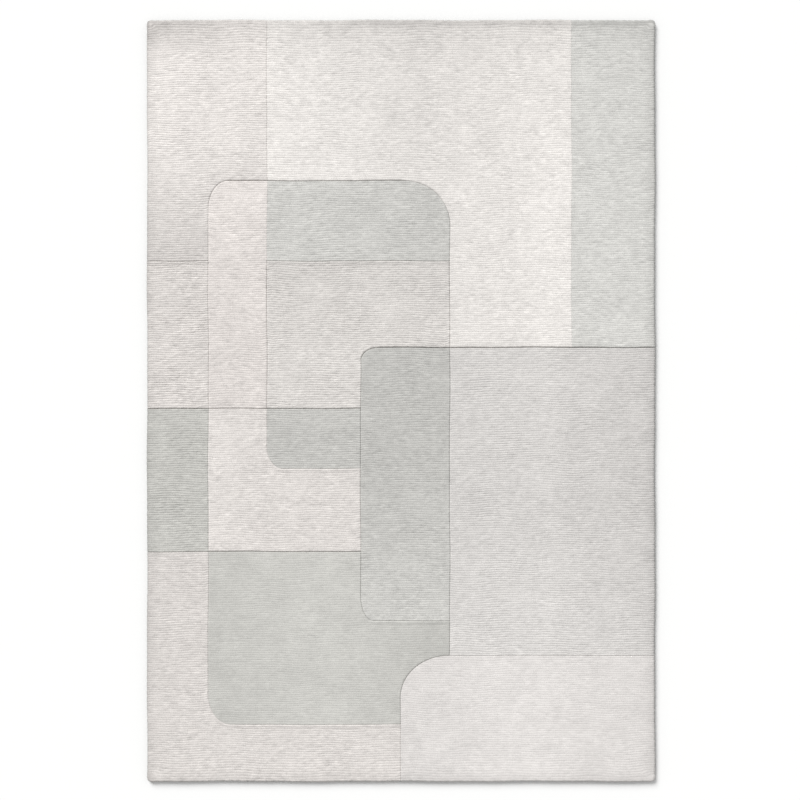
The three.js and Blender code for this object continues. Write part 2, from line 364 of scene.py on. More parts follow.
@dataclass(frozen=True)
class PileYarn:
    """Dyed wool pile: ropey loops in rows, a little lighter or darker from place to place.

    The tones are shares of the yarn's colour at the west end, middle and east end of the field,
    and at its foot, middle and head. The colour is painted darker from the crests of its loops
    to their roots: painted shade deep in the pile.
    """

    slot: str
    shade: Colour
    across: Colour = (1.0, 1.0, 1.0)
    along: Colour = (1.0, 1.0, 1.0)
    mottle: float = 0.55
    brush: float = 0.09
    relief: float = 1.0
    fleck: float = 0.42
    cloud: float = 0.16
    dye_gain: float = 0.82
    # painted shade: the gain left at the roots, and the depths below the top over which the pile is
    # painted darker, in mm
    painted_root_gain: float = 0.5
    painted_shade_depth: float = 7.4
    painted_shade_top: float = 0.5
    loop_length: float = 1.25
    loop_height: float = 0.55
    roughness: float = 0.95
    soiling: Soiling = Soiling()

    def _tone(self, share: Signal, stops: Colour) -> Signal:
        """Runs through three tones as a share goes from 0 to 1."""
        first, middle, last = stops
        rise = (share * 2.0).clamp() * (middle - first)
        return first + rise + (share * 2.0 - 1.0).clamp() * (last - middle)

    def material(self, name: str, low: Vector, high: Vector) -> bpy.types.Material:
        """Makes the pile's material.

        Args:
            name: the field's name.
            low: the field's lowest corner, in millimetres.
            high: its highest corner.

        Returns:
            The material.
        """
        s = Shader(name)
        x, y, z = s.place()
        tone = self._tone((x - low.x) / (high.x - low.x), self.across)
        tone = tone * self._tone((y - low.y) / (high.y - low.y), self.along)
        # painted shade: darker from the crests down to the roots, where the fibres shade each other
        painted_root_shade = z.ramp(high.z - self.painted_shade_depth, high.z - self.painted_shade_top)
        painted_root_shade = self.painted_root_gain + painted_root_shade * (1.0 - self.painted_root_gain)
        # painted shade in the gain: darker towards the roots and towards the rug's edges
        gain = tone * self.soiling.clean(s, x, y) * self._dye(s, x, y) * painted_root_shade * self.dye_gain
        normal = s.bump(self._loops(s), self.loop_height * MM)
        s.finish(s.tint(linear(self.shade), gain), self.roughness, normal,
                 Sheen_Weight=0.12, Sheen_Roughness=0.6, Specular_IOR_Level=0.15)
        return s.material

    def _dye(self, s: Shader, x: Signal, y: Signal) -> Signal:
        """How unevenly the yarn took the dye: in clouds, brushed streaks, mottles and flecks."""
        u, v = s.rows()
        cloud = s.noise(x / 95.0, y / 70.0, 3.0, 2.0) * self.cloud
        brushed = s.noise(u * 0.10, v * 0.09, 7.0, 2.0) * self.brush
        patch = s.noise(x / 60.0, y / 26.0, 9.0, 2.0).ramp(-0.14, 0.16) * 0.6 + 0.7
        mottled = s.noise(u * 0.3, v.floor() * 7.3 + v * 0.35, 1.0, 1.5) * patch * self.mottle
        fleck = s.noise(u * 1.7, v * 1.9, 5.0, 2.0) * self.fleck
        return 1.0 + cloud + brushed + mottled + fleck

    def _loops(self, s: Shader) -> Signal:
        """The relief of the loops, of the plies round each and of their loose fibres."""
        u, v = s.rows()
        row = v.floor()
        in_row = v.fract()
        turn = s.noise(u * 0.5, row * 3.7, 2.0, 0.0) * 1.6
        strand = (u * self.loop_length + turn + (in_row - 0.5) * 0.8 + row * 0.37).fract()
        plies = ((u * 5.0 + in_row * 3.2 + turn) * (2 * math.pi)).sine() * 0.16
        fibres = s.noise(u * 9.0 + in_row * 4.0, v * 6.0, 0.0, 3.0) * 0.5
        crest = (in_row * math.pi).sine()
        return ((strand * math.pi).sine() * 0.6 + plies) * crest + fibres


class Weave(Enum):
    """How a backing cloth is woven."""

    PLAIN = "plain"
    TWILL = "herringbone"
    LENO = "leno"


@dataclass(frozen=True)
class WovenCloth:
    """Undyed woven cotton: its weave, thread count and shade."""

    slot: str
    shade: Colour
    weave: Weave
    pitch: float
    slub: float = 0.10
    stain: float = 0.10
    relief: float = 0.35
    roughness: float = 0.92

    def material(self, name: str, along_x: bool = False) -> bpy.types.Material:
        """Makes the cloth's material.

        Args:
            name: the piece's name.
            along_x: whether the cloth's length runs along X.

        Returns:
            The material.
        """
        s = Shader(name)
        x, y, _ = s.place()
        length, width = (x, y) if along_x else (y, x)
        warp = width / self.pitch
        weft = length / self.pitch
        shift = self._shift(warp, weft)
        over = ((warp * math.pi).sine() * ((weft + shift) * math.pi).sine()).absolute()
        slubs = s.noise(warp * 0.9, weft * 0.07, 1.0, 2.0) + s.noise(warp * 0.07, weft * 0.9, 2.0, 2.0)
        stain = s.noise(x / 160.0, y / 130.0, 4.0, 3.0) * self.stain
        gain = 0.80 + over * 0.20 + slubs * self.slub + stain
        fuzz = s.noise(x * 2.6, y * 2.6, 0.0, 3.0)
        normal = s.bump(over + slubs * 0.5 + fuzz * 0.35, self.relief * MM)
        s.finish(s.tint(linear(self.shade), gain), self.roughness, normal, Specular_IOR_Level=0.2)
        return s.material

    def _shift(self, warp: Signal, weft: Signal) -> Operand:
        """How far the weft's crossings step from one warp thread to the next."""
        if self.weave is Weave.TWILL:
            zigzag = ((warp / 12.0).fract() - 0.5).absolute()
            return zigzag * 12.0
        if self.weave is Weave.LENO:
            return (weft * 0.5).floor() * 0.5
        return warp.floor()


@dataclass(frozen=True)
class WoundYarn:
    """Spun yarn wound or sewn on: fine plies at a slant."""

    slot: str
    shade: Colour
    ply: float

    def material(self, name: str) -> bpy.types.Material:
        """Makes the yarn's material, with the plies turning round it."""
        s = Shader(name)
        x, y, z = s.place()
        plies = ((x + y + z * 1.5) * (2 * math.pi / self.ply)).sine()
        fuzz = s.noise(x * 1.7, y * 1.7, z * 1.7, 3.0)
        worn = s.noise(x / 30.0, y / 30.0, z / 30.0, 2.0)
        gain = 0.92 + plies * 0.06 + fuzz * 0.16 + worn * 0.12
        normal = s.bump(plies * 0.3 + fuzz, 0.3 * MM)
        s.finish(s.tint(linear(self.shade), gain), 0.9, normal, Sheen_Weight=0.15)
        return s.material


@dataclass(frozen=True)
class DriedLatex:
    """Cream latex, brushed on and dried: faint brush marks and small pits."""

    slot: str
    shade: Colour

    def material(self, name: str) -> bpy.types.Material:
        """Makes the latex's material."""
        s = Shader(name)
        x, y, z = s.place()
        strokes = s.noise(x / 40.0, y / 4.0, z, 3.0)
        pits = s.noise(x / 2.5, y / 2.5, z, 2.0).ramp(0.12, 0.25)
        gain = 0.95 + strokes * 0.12 - pits * 0.12
        normal = s.bump(strokes - pits, 0.4 * MM)
        s.finish(s.tint(linear(self.shade), gain), 0.5 + strokes * 0.2, normal)
        return s.material


# ---------------------------------------------------------------------------------------------
# Mesh helpers


def box_mm(node: str) -> tuple[Vector, Vector]:
    """A CAD node's lowest and highest corners, in millimetres."""
    low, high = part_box(node)
    return low / MM, high / MM


def make_piece(name: str, bm: bmesh.types.BMesh, smooth: bool = True) -> bpy.types.Object:
    """Turns a bmesh in millimetres into an object in metres at the origin.

    Args:
        name: the piece's name.
        bm: its mesh, which is freed.
        smooth: whether its faces are shaded smooth.

    Returns:
        The object.
    """
    bmesh.ops.recalc_face_normals(bm, faces=bm.faces)
    bmesh.ops.scale(bm, vec=(MM, MM, MM), verts=bm.verts)
    mesh = bpy.data.meshes.new(name)
    bm.to_mesh(mesh)
    bm.free()
    mesh.polygons.foreach_set("use_smooth", [smooth] * len(mesh.polygons))
    piece = bpy.data.objects.new(name, mesh)
    bpy.context.scene.collection.objects.link(piece)
    return piece


def settle(piece: bpy.types.Object, material: bpy.types.Material, slot: str, *nodes: str) -> None:
    """Dresses a piece, hangs it on the rug's body and lets it stand for CAD nodes.

    Args:
        piece: the piece.
        material: its material.
        slot: not used.
        nodes: the CAD nodes that it stands for.
    """
    piece.data.materials.clear()
    piece.data.materials.append(material)
    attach(piece, ROOT)
    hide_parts(*nodes)
    LOG.info("%s: %d faces", piece.name, len(piece.data.polygons))


def repeat_along(bm: bmesh.types.BMesh, count: int, step: float) -> None:
    """Copies what a mesh holds along X until there are count of it, doubling it each time.

    Args:
        bm: the mesh, with one of the shape in it.
        count: how many there are in the end.
        step: how far apart they are.
    """
    each = len(bm.faces)
    made = 1
    while made < count:
        more = min(made, count - made)
        bm.faces.ensure_lookup_table()
        copied = bmesh.ops.duplicate(bm, geom=bm.faces[: more * each])
        verts = [item for item in copied["geom"] if isinstance(item, bmesh.types.BMVert)]
        bmesh.ops.translate(bm, verts=verts, vec=(made * step, 0, 0))
        made += more


def spaced(stops: Sequence[float], pitch: float, near: Sequence[float]) -> np.ndarray:
    """Divides a line into even steps between stops, with finer steps beside each stop.

    Args:
        stops: places that must be on the line, in order.
        pitch: the usual step.
        near: distances from each stop where the line also steps.

    Returns:
        The places of the steps.
    """
    marks = {float(stop) for stop in stops}
    for stop in stops:
        marks.update(stop + side * gap for gap in near for side in (-1, 1))
    marks = sorted(mark for mark in marks if stops[0] <= mark <= stops[-1])
    places = [marks[0]]
    for start, end in zip(marks, marks[1:]):
        steps = max(1, round((end - start) / pitch))
        places.extend(start + (end - start) * k / steps for k in range(1, steps + 1))
    return np.array(places)


def lay_grid(columns: Sequence[float], levels: Sequence[float]) -> bmesh.types.BMesh:
    """Makes a flat grid with its lines at given places.

    Args:
        columns: the places of its lines along X.
        levels: the places of its lines along Y.

    Returns:
        The grid.
    """
    nx, ny = len(columns) - 1, len(levels) - 1
    bm = bmesh.new()
    bmesh.ops.create_grid(bm, x_segments=nx, y_segments=ny, size=0.5)
    for vert in bm.verts:
        vert.co.x = columns[round((vert.co.x + 0.5) * nx)]
        vert.co.y = levels[round((vert.co.y + 0.5) * ny)]
    return bm


def meander(along: Operand, across: Operand, wave: float, turn: float, bend: float) -> Operand:
    """A wave that wanders: its phase swings by turn as another wave crosses it.

    Args:
        along: the places along the wave.
        across: the places along the crossing wave.
        wave: the wave's length over 2 pi.
        turn: how far its phase swings, in radians.
        bend: the crossing wave's length over 2 pi.

    Returns:
        The wave, from -1 to 1.
    """
    return np.sin(along / wave + turn * np.sin(across / bend))


# ---------------------------------------------------------------------------------------------
# The pattern


class Cut(Enum):
    """How the pile is cut along a line: how far in the cut reaches, and how deep, in mm."""

    JOIN = (0.0, 0.0)
    FLUSH = (0.5, 0.0)
    SCORE = (1.4, 0.9)
    SLIT = (1.4, 2.0)
    VEE = (1.9, 2.0)
    LIP = (9.0, -1.4)
    BEVEL = (3.0, 3.2)
    DEEP = (3.6, 4.6)
    RIM = (3.8, 3.3)

    @property
    def reach(self) -> float:
        """How far the cut reaches into the field."""
        return self.value[0]

    @property
    def depth(self) -> float:
        """How deep the cut is at the line."""
        return self.value[1]

    def drop(self, away: np.ndarray) -> np.ndarray:
        """How deep the cut is at each distance from its line."""
        steepness = 1.6 if self is Cut.RIM else 1.15
        return self.depth * np.clip(1 - away / self.reach, 0, 1) ** steepness

    def swell(self, away: np.ndarray) -> np.ndarray:
        """How deep a lip is, below 0 for a rise: it climbs steeply from its line and dies away."""
        share = np.clip(1 - away / self.reach, 0, 1)
        return self.depth * np.minimum(share * 1.45, (1 - share) * 3.2)


@dataclass(frozen=True)
class Corner:
    """A corner of a field, and the line that leaves it counter-clockwise."""

    x: float
    y: float
    cut: Cut
    rounding: Optional[Point] = None
    arc: Cut = Cut.SLIT


@dataclass(frozen=True)
class Stretch:
    """A straight stretch of a field's outline."""

    start: Point
    end: Point
    cut: Cut


@dataclass(frozen=True)
class PatternLines:
    """The lines of the block pattern, in millimetres, read from the frame's own pieces."""

    left: float
    column_left: float
    column_right: float
    panel_left: float
    foot_block: float
    panel_right: float
    right_column: float
    right: float
    foot: float
    foot_band: float
    foot_block_top: float
    panel_foot: float
    lower_block: float
    dark_foot: float
    dark_top: float
    panel_top: float
    bar_foot: float
    band_foot: float
    head: float

    @classmethod
    def from_frame(cls) -> "PatternLines":
        """Reads the lines from the frame: each lies in the middle of the gap beside a field."""
        half_gap = (box_mm("pile_top_right")[0].x - box_mm("pile_top_centre")[1].x) / 2

        def line(node: str, axis: str, high: bool) -> float:
            """The line along one side of a field."""
            corner = box_mm(node)[high]
            return getattr(corner, axis) + (half_gap if high else -half_gap)

        return cls(
            left=line("pile_top_left", "x", False),
            column_left=line("pile_left_column", "x", False),
            column_right=line("pile_left_column", "x", True),
            panel_left=line("pile_tall_panel", "x", False),
            foot_block=line("pile_bottom_right", "x", False),
            panel_right=line("pile_tall_panel", "x", True),
            right_column=line("pile_top_right", "x", False),
            right=line("pile_top_right", "x", True),
            foot=line("pile_bottom_left", "y", False),
            foot_band=line("pile_lower_block", "y", False),
            foot_block_top=line("pile_bottom_right", "y", True),
            panel_foot=line("pile_tall_panel", "y", False),
            lower_block=line("pile_lower_block", "y", True),
            dark_foot=line("pile_dark_block", "y", False),
            dark_top=line("pile_dark_block", "y", True),
            panel_top=line("pile_tall_panel", "y", True),
            bar_foot=line("pile_upper_bar", "y", False),
            band_foot=line("pile_upper_bar", "y", True),
            head=line("pile_top_left", "y", True),
        )

    def levels(self) -> list[float]:
        """The lines that lie along the rows, from foot to head."""
        return [
            self.foot, self.foot_band, self.foot_block_top, self.panel_foot, self.lower_block,
            self.dark_foot, self.dark_top, self.panel_top, self.bar_foot, self.band_foot, self.head,
        ]


class Outline:
    """A field's outline: straight stretches, with rounded corners as short chords."""

    CHORD = 7.0

    def __init__(self, corners: Sequence[Corner]) -> None:
        """Works out the stretches from the corners."""
        self.stretches: list[Stretch] = []
        self.arcs: list[list[Stretch]] = []
        ends = [self._arc(corners, i) for i in range(len(corners))]
        for i, corner in enumerate(corners):
            if len(ends[i]) > 1:
                arc = [Stretch(a, b, corner.arc) for a, b in zip(ends[i], ends[i][1:])]
                self.stretches += arc
                self.arcs.append(arc)
            self.stretches.append(Stretch(ends[i][-1], ends[(i + 1) % len(corners)][0], corner.cut))
        self.columns = sorted({corner.x for corner in corners})
        self.low = (self.columns[0], min(corner.y for corner in corners))
        self.high = (self.columns[-1], max(corner.y for corner in corners))

    def _arc(self, corners: Sequence[Corner], i: int) -> list[Point]:
        """Works out one corner.

        Args:
            corners: all the corners.
            i: which one it is.

        Returns:
            Its points: itself, or an arc of chords round it.
        """
        corner, before, after = corners[i], corners[i - 1], corners[(i + 1) % len(corners)]
        if corner.rounding is None:
            return [(corner.x, corner.y)]
        into = Vector((corner.x - before.x, corner.y - before.y)).normalized()
        away = Vector((after.x - corner.x, after.y - corner.y)).normalized()
        rx, ry = corner.rounding
        cx = corner.x + rx * (away.x - into.x)
        cy = corner.y + ry * (away.y - into.y)
        steps = max(3, round((rx + ry) * math.pi / 4 / self.CHORD))
        points = []
        for k in range(steps + 1):
            turn = k / steps * math.pi / 2
            reach = into * math.sin(turn) - away * math.cos(turn)
            points.append((cx + rx * reach.x, cy + ry * reach.y))
        return points

    def area(self) -> float:
        """The outline's area, in square millimetres."""
        total = sum(s.start[0] * s.end[1] - s.end[0] * s.start[1] for s in self.stretches)
        return total / 2


@dataclass
class Rows:
    """The rows of tufts: where each lies, and how it rises, sinks and wanders along its way."""

    lines: PatternLines
    pitch: float = 5.45
    relief: float = 1.1
    samples: int = 4
    waves: tuple[float, ...] = (9.0, 17.0, 31.0, 67.0)
    wander: float = 0.8
    wander_reach: float = 3.0
    roam: float = 1.1
    roam_reach: float = 13.0
    swell: float = 0.52
    roundness: float = 0.8
    loop_rise: float = 0.34
    loop_length: float = 6.6
    lean: float = 0.55
    firmness: float = 0.68
    unevenness: float = 0.2
    fray: float = 0.8
    fray_stretch: float = 0.6
    seed: int = 11

    def __post_init__(self) -> None:
        """Sets out a whole number of rows between each pair of lines."""
        levels = self.lines.levels()
        counts = [round((b - a) / self.pitch) for a, b in zip(levels, levels[1:])]
        self.level_rows = np.concatenate([[0], np.cumsum(counts)])
        self.level_places = np.array(levels)
        self.count = int(self.level_rows[-1])
        rng = np.random.default_rng(self.seed)
        self.swell_phase = rng.uniform(0, 2 * np.pi, (self.count + 2, len(self.waves)))
        self.wander_phase = rng.uniform(0, 2 * np.pi, (self.count + 2, len(self.waves)))
        self.loop_phase = rng.uniform(0, 2 * np.pi, self.count + 2)

    def row_at(self, y: np.ndarray) -> np.ndarray:
        """The row, with its fraction, at each place along Y."""
        return np.interp(y, self.level_places, self.level_rows)

    def places(self, low: float, high: float) -> np.ndarray:
        """The places along Y of every row's edge, crest and flanks between two lines."""
        first, last = self.row_at(np.array([low, high])).round().astype(int)
        steps = np.arange(first * self.samples, last * self.samples + 1) / self.samples
        return np.interp(steps, self.level_rows, self.level_places)

    def _wave(self, x: np.ndarray, v: np.ndarray, phases: np.ndarray) -> np.ndarray:
        """A slow wave along each row, blended from one row's crest to the next.

        Args:
            x: the points' places along X.
            v: their rows.
            phases: each row's phase in each of the waves.

        Returns:
            The wave, from -1 to 1.
        """
        lower = np.clip(np.floor(v - 0.5).astype(int), 0, self.count)
        share = np.clip(v - 0.5 - lower, 0, 1)
        total = np.zeros_like(x)
        for k, wave in enumerate(self.waves):
            angle = 2 * np.pi * x / wave
            first = np.sin(angle + phases[lower, k])
            second = np.sin(angle + phases[lower + 1, k])
            total += (first + (second - first) * share) / len(self.waves)
        return total

    def rise(self, x: np.ndarray, v: np.ndarray) -> np.ndarray:
        """How high the pile stands.

        Args:
            x: the points' places along X.
            v: their rows.

        Returns:
            Each point's height, from 0 at a crest down.
        """
        crest = np.sin(np.pi * (v % 1.0)) ** self.roundness
        row = np.clip(np.floor(v).astype(int), 0, self.count)
        loop = np.cos(2 * np.pi * x / self.loop_length + self.loop_phase[row]) * crest
        swell = self._wave(x, v, self.swell_phase)
        fray = self._wave(x * self.fray_stretch, v + 0.5, self.wander_phase) * self.fray
        firm = self._patch(x, v) * (1 + fray)
        return self.relief * firm * (crest - 1.0) + self.swell * swell + self.loop_rise * loop

    def _patch(self, x: np.ndarray, v: np.ndarray) -> np.ndarray:
        """How firmly the rows stand out at each point: a share that drifts over the rug."""
        y = v * self.pitch
        waves = meander(x, y, 29, 1.3, 47) + meander(y, x + 48.8, 23, 1.7, 61)
        return self.firmness + self.unevenness * waves

    def drift(self, x: np.ndarray, y: np.ndarray, v: np.ndarray, near: np.ndarray) -> np.ndarray:
        """How far each point is pulled aside.

        Args:
            x: the points' places along X.
            y: their places along Y.
            v: their rows.
            near: how near the nearest cut line is, where no point moves.

        Returns:
            The pull along X and along Y, as two columns.
        """
        own = np.clip(near / self.wander_reach, 0, 1)
        shared = np.clip(near / self.roam_reach, 0, 1)
        shared = shared * shared * (3 - 2 * shared)
        roam = meander(x, y, 33, 2.0, 71) + meander(x, y + 39, 17, 1.5, 39) * 0.5
        roam += meander(y, x, 44, 1.8, 90) * 0.7
        along = -np.sin(2 * np.pi * v) * self.lean * own
        across = self._wave(x, v, self.wander_phase) * self.wander * own + roam * self.roam * shared
        return np.column_stack([along, across])

    def sway(self, x: np.ndarray, y: np.ndarray) -> np.ndarray:
        """How far the whole pattern sways, as hand-cut lines do.

        Args:
            x: the points' places along X.
            y: their places along Y.

        Returns:
            The sway along X and along Y, as two columns.
        """
        along = np.sin(y / 74 + 0.6) * 0.7 + np.sin(y / 31 + x / 150) * 0.4
        across = np.sin(x / 58 + 2.1) * 0.6 + np.sin(x / 23 + y / 170) * 0.35
        return np.column_stack([along, across])


# ---------------------------------------------------------------------------------------------
# The pile


@dataclass
class PileField:
    """One field of the pattern: a closed block of pile with its rows in relief on top."""

    name: str
    yarn: PileYarn
    corners: Sequence[Corner]
    rows: Rows
    step: float = 3.15
    fine_steps: tuple[float, ...] = (1.4, 3.0)
    rim_foot: float = 6.5
    overhang: tuple[float, ...] = (5.6, 8.0, 7.2, 8.0)
    splay: float = 58.0
    scallop: float = 0.05
    sag: float = 0.4

    def build(self) -> bpy.types.Object:
        self.outline = Outline(self.corners)
        low, high = box_mm(self.name)
        bm = self._sheet(high.z - low.z, high.z - self.rim_foot)
        piece = make_piece(f"{self.name}_rows", bm)
        self._shape(piece.data, high.z)
        material = self.yarn.material(self.name, low, high)
        settle(piece, material, self.yarn.slot, self.name)
        area = self.outline.area() * MM * MM
        return piece

    def _sheet(self, thickness: float, waist: float) -> bmesh.types.BMesh:
        """Cuts the field from a grid on the rows, and closes it underneath.

        Args:
            thickness: the height of the pile.
            waist: how far down its sides turn straight.

        Returns:
            The flat block, with its top at 0.
        """
        columns = spaced(self.outline.columns, self.step, self.fine_steps)
        levels = self.rows.places(self.outline.low[1], self.outline.high[1])
        bm = lay_grid(columns, levels)
        for arc in self.outline.arcs:
            self._cut_arc(bm, arc)
        self._trim(bm)
        loop = [edge for edge in bm.edges if edge.is_boundary]
        for fall in (waist, thickness - waist):
            wall = bmesh.ops.extrude_edge_only(bm, edges=loop)["geom"]
            ring = [item for item in wall if isinstance(item, bmesh.types.BMVert)]
            bmesh.ops.translate(bm, verts=ring, vec=(0, 0, -fall))
            loop = [item for item in wall if isinstance(item, bmesh.types.BMEdge) and item.is_boundary]
        bmesh.ops.edgeloop_fill(bm, edges=loop)
        return bm

    def _cut_arc(self, bm: bmesh.types.BMesh, arc: Sequence[Stretch]) -> None:
        """Cuts the faces that a rounded corner crosses, along each of its chords.

        Args:
            bm: the grid.
            arc: the corner's chords.
        """
        ends = [chord.start for chord in arc] + [arc[-1].end]
        xs, ys = zip(*ends)
        margin = 2 * self.step
        around = []
        for face in bm.faces:
            x, y, _ = face.calc_center_median()
            if min(xs) - margin < x < max(xs) + margin and min(ys) - margin < y < max(ys) + margin:
                around.append(face)
        for chord in arc:
            (x0, y0), (x1, y1) = chord.start, chord.end
            low_x, high_x = sorted((x0, x1))
            low_y, high_y = sorted((y0, y1))
            crossed = []
            for face in around:
                face_x = [vert.co.x for vert in face.verts]
                face_y = [vert.co.y for vert in face.verts]
                if (min(face_x) < high_x and max(face_x) > low_x
                        and min(face_y) < high_y and max(face_y) > low_y):
                    crossed.append(face)
            edges = {edge for face in crossed for edge in face.edges}
            verts = {vert for face in crossed for vert in face.verts}
            normal = (y1 - y0, x0 - x1, 0.0)
            cut = bmesh.ops.bisect_plane(bm, geom=crossed + list(edges) + list(verts), dist=0.01,
                                         plane_co=(x0, y0, 0), plane_no=normal)
            halves = {item for item in cut["geom"] if isinstance(item, bmesh.types.BMFace)}
            around = list({face for face in around if face.is_valid} | halves)

    def _trim(self, bm: bmesh.types.BMesh) -> None:
        """Deletes the faces outside the outline."""
        edges = np.array([[*s.start, *s.end] for s in self.outline.stretches])
        faces = list(bm.faces)
        middles = np.array([face.calc_center_median()[:2] for face in faces])
        inside = np.zeros(len(faces), bool)
        for x0, y0, x1, y1 in edges:
            if y0 == y1:
                continue
            crosses = (y0 > middles[:, 1]) != (y1 > middles[:, 1])
            reach = x0 + (x1 - x0) * (middles[:, 1] - y0) / (y1 - y0)
            inside ^= crosses & (middles[:, 0] < reach)
        outside = [face for face, kept in zip(faces, inside) if not kept]
        bmesh.ops.delete(bm, geom=outside, context="FACES")

    def _shape(self, mesh: bpy.types.Mesh, head: float) -> None:
        """Raises the rows, cuts the lines and lays the field's own map.

        Args:
            mesh: the field's flat block, in metres.
            head: the height of the pile's crests, in millimetres.
        """
        count = len(mesh.vertices)
        places = np.empty(count * 3)
        mesh.vertices.foreach_get("co", places)
        places = places.reshape(-1, 3) / MM
        x, y = places[:, 0].copy(), places[:, 1].copy()
        v = self.rows.row_at(y)
        self._lay_map(mesh, x / self.rows.pitch, v)
        top = places[:, 2] > -0.5
        tx, ty, tv = x[top], y[top], v[top]
        drop, near, push = self._cuts(tx, ty)
        places[top, :2] += self.rows.drift(tx, ty, tv, near) + self.rows.sway(tx, ty) + push
        places[top, 2] = head - self.sag + self.rows.rise(tx, tv) * self.yarn.relief - drop
        places[~top, 2] += head
        mesh.vertices.foreach_set("co", (places * MM).ravel())
        mesh.update()

    def _cuts(self, x: np.ndarray, y: np.ndarray) -> tuple[np.ndarray, np.ndarray, np.ndarray]:
        """Works out the cuts at each point of the top.

        Args:
            x: the points' places along X.
            y: their places along Y.

        Returns:
            How deep the cut is, how near the nearest line is, and how far the rim leans out.
        """
        drop = np.zeros_like(x)
        near, rim, lip = (np.full_like(x, FAR) for _ in range(3))
        push = np.zeros((len(x), 2))
        for stretch in self.outline.stretches:
            close, away = self._beside(stretch, x, y)
            if stretch.cut is not Cut.JOIN:
                near[close] = np.minimum(near[close], away)
                drop[close] = np.maximum(drop[close], stretch.cut.drop(away))
            if stretch.cut is Cut.LIP:
                lip[close] = np.minimum(lip[close], away)
            if stretch.cut is Cut.RIM:
                nearest = away < rim[close]
                rim[close] = np.minimum(rim[close], away)
                lean = self._lean(stretch, x[close] + y[close], away)
                push[close] = np.where(nearest[:, None], lean, push[close])
        return drop + Cut.LIP.swell(lip), near, push

    def _beside(self, stretch: Stretch, x: np.ndarray, y: np.ndarray) -> tuple[np.ndarray, np.ndarray]:
        """Finds the points beside a stretch of the outline.

        Args:
            stretch: the stretch.
            x: the points' places along X.
            y: their places along Y.

        Returns:
            Which points those are, and how far each of them is from the stretch.
        """
        start, end = np.array(stretch.start), np.array(stretch.end)
        way = end - start
        margin = self.splay + 2
        low = np.minimum(start, end) - margin
        high = np.maximum(start, end) + margin
        close = (x > low[0]) & (x < high[0]) & (y > low[1]) & (y < high[1])
        px, py = x[close] - start[0], y[close] - start[1]
        share = np.clip((px * way[0] + py * way[1]) / float(np.hypot(*way)) ** 2, 0, 1)
        return close, np.hypot(px - share * way[0], py - share * way[1])

    def _lean(self, stretch: Stretch, along: np.ndarray, away: np.ndarray) -> np.ndarray:
        """How far the rim leans out beside a stretch of the rug's edge.

        Args:
            stretch: the stretch.
            along: the points' places along the edge.
            away: how far each point is from it.

        Returns:
            The lean along X and along Y, as two columns.
        """
        way = np.array(stretch.end) - np.array(stretch.start)
        outward = np.array([way[1], -way[0]]) / float(np.hypot(*way))
        west, east, foot, head = self.overhang
        reach_x = max(-outward[0], 0) * west + max(outward[0], 0) * east
        reach_y = max(-outward[1], 0) * foot + max(outward[1], 0) * head
        lean = (reach_x + reach_y) * np.clip(1 - away / self.splay, 0, 1) ** 1.5
        lean *= 1 + self.scallop * np.sin(along * 0.41 + 3 * np.sin(along / 37))
        return outward * lean[:, None]

    def _lay_map(self, mesh: bpy.types.Mesh, u: np.ndarray, v: np.ndarray) -> None:
        """Gives the mesh its map.

        Args:
            mesh: the field's mesh.
            u: each vertex's place along the rows.
            v: its place counted in rows.
        """
        layer = mesh.uv_layers.new(name=ROW_MAP)
        corners = np.empty(len(mesh.loops), np.int32)
        mesh.loops.foreach_get("vertex_index", corners)
        layer.data.foreach_set("uv", np.column_stack([u, v])[corners].ravel())


Field = tuple[str, PileYarn, list[Corner]]


